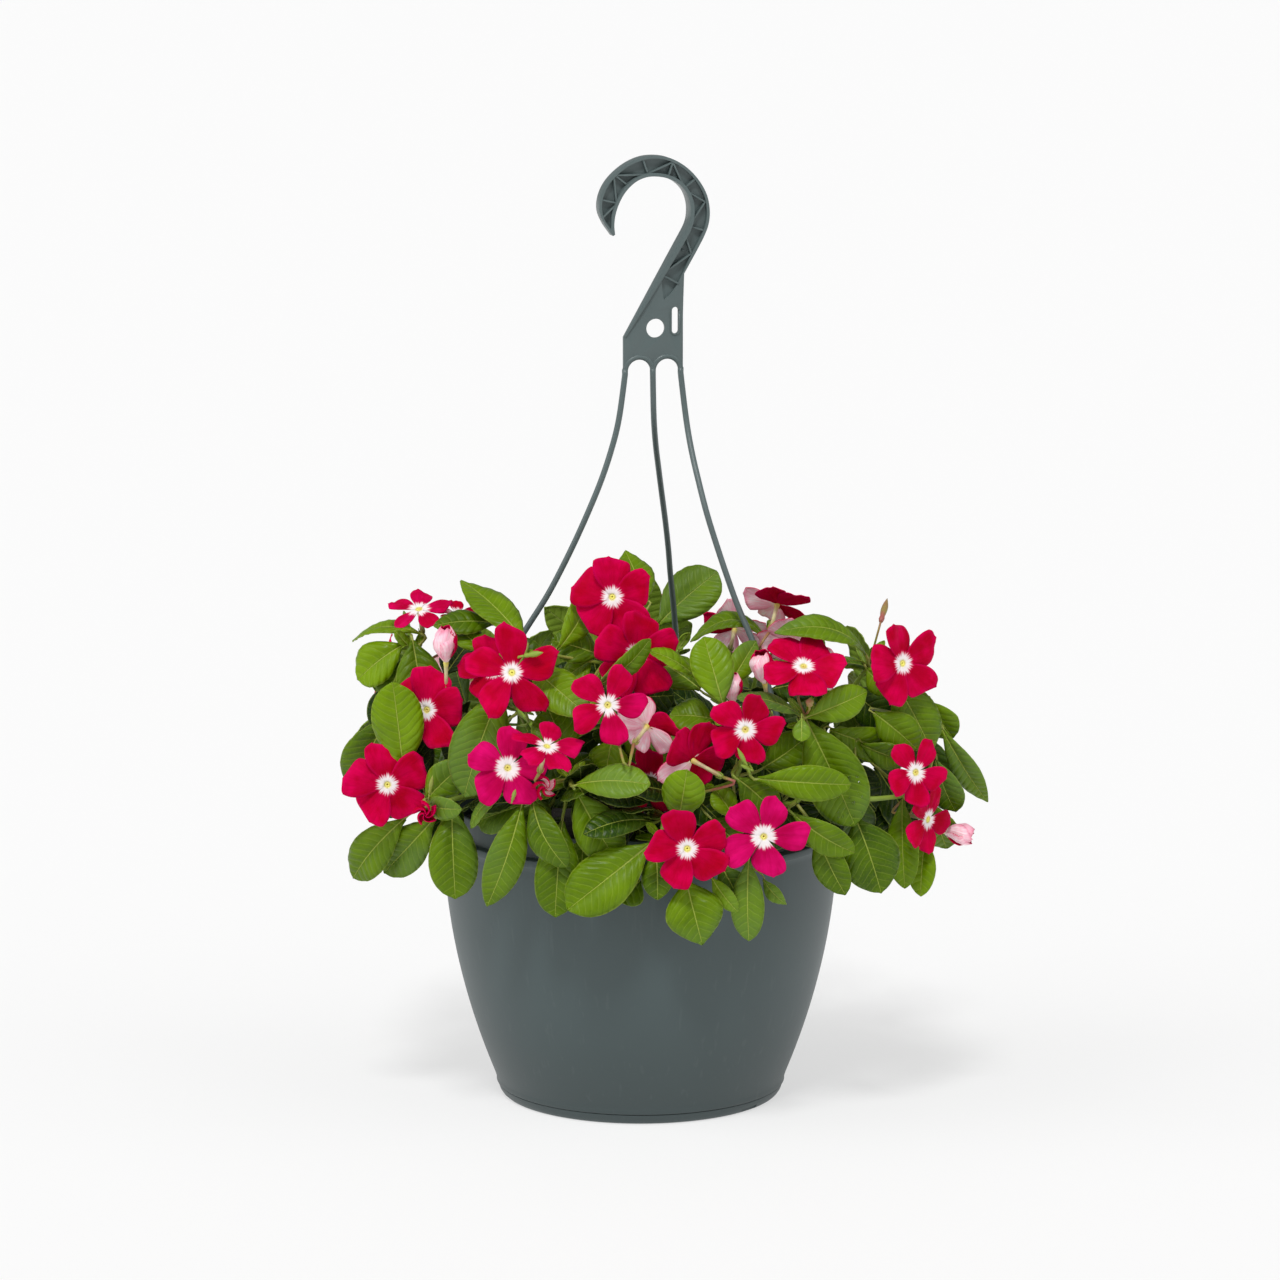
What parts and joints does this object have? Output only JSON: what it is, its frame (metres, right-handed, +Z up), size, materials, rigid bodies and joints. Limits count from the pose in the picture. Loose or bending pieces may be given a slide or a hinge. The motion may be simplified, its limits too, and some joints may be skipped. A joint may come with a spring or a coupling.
{
  "type": "hanging flower basket",
  "caption": "Tapered plastic hanging pot with clipped drip saucer and one-piece hook hanger, planted with a mounded, trailing Madagascar periwinkle in red bloom.",
  "frame": {"origin": "centre of the flat underside of the drip saucer", "axes": "+Z up through the pot to the hook; the pictured side faces -Y; +X to the viewer's right"},
  "size_m": [0.4112, 0.363, 0.6033],
  "materials": {
    "pot_plastic": "slate grey-green moulded plastic, soft sheen",
    "hanger_plastic": "slate grey-green moulded plastic, soft sheen",
    "soil_mix": "dark moist potting mix",
    "leaf_green": "waxy green leaf with pale midrib",
    "petal_red": "velvety crimson petal"
  },
  "bodies": {
    "root": {"bloom_01": "petal_red", "bloom_02": "petal_red", "bloom_03": "petal_red", "bloom_04": "petal_red", "bloom_05": "petal_red", "bloom_06": "petal_red", "bloom_07": "petal_red", "bloom_08": "petal_red", "bloom_09": "petal_red", "bloom_10": "petal_red", "bloom_11": "petal_red", "bloom_12": "petal_red", "bloom_13": "petal_red", "bloom_14": "petal_red", "bloom_15": "petal_red", "bloom_16": "petal_red", "bloom_17": "petal_red", "bloom_18": "petal_red", "bloom_19": "petal_red", "bloom_20": "petal_red", "bloom_21": "petal_red", "bloom_22": "petal_red", "bloom_23": "petal_red", "bloom_24": "petal_red", "bloom_25": "petal_red", "bloom_26": "petal_red", "bloom_27": "petal_red", "bloom_28": "petal_red", "bloom_29": "petal_red", "bloom_30": "petal_red", "bloom_31": "petal_red", "bloom_32": "petal_red", "bloom_33": "petal_red", "bloom_34": "petal_red", "drip_saucer": "pot_plastic", "hanger": "hanger_plastic", "pot": "pot_plastic", "soil": "soil_mix", "stem_back_left": "leaf_green", "stem_back_mid": "leaf_green", "stem_back_right": "leaf_green", "stem_centre_front": "leaf_green", "stem_centre_top": "leaf_green", "stem_far_right": "leaf_green", "stem_far_right_top": "leaf_green", "stem_front_left": "leaf_green", "stem_front_mid": "leaf_green", "stem_front_mid_left": "leaf_green", "stem_front_right": "leaf_green", "stem_left_high": "leaf_green", "stem_left_inner": "leaf_green", "stem_left_low": "leaf_green", "stem_mid_right": "leaf_green", "stem_right_high": "leaf_green", "stem_right_low": "leaf_green", "stem_right_top_back": "leaf_green", "stem_side_left": "leaf_green", "stem_side_right": "leaf_green", "stem_top_back": "leaf_green"}
  },
  "joints": []
}
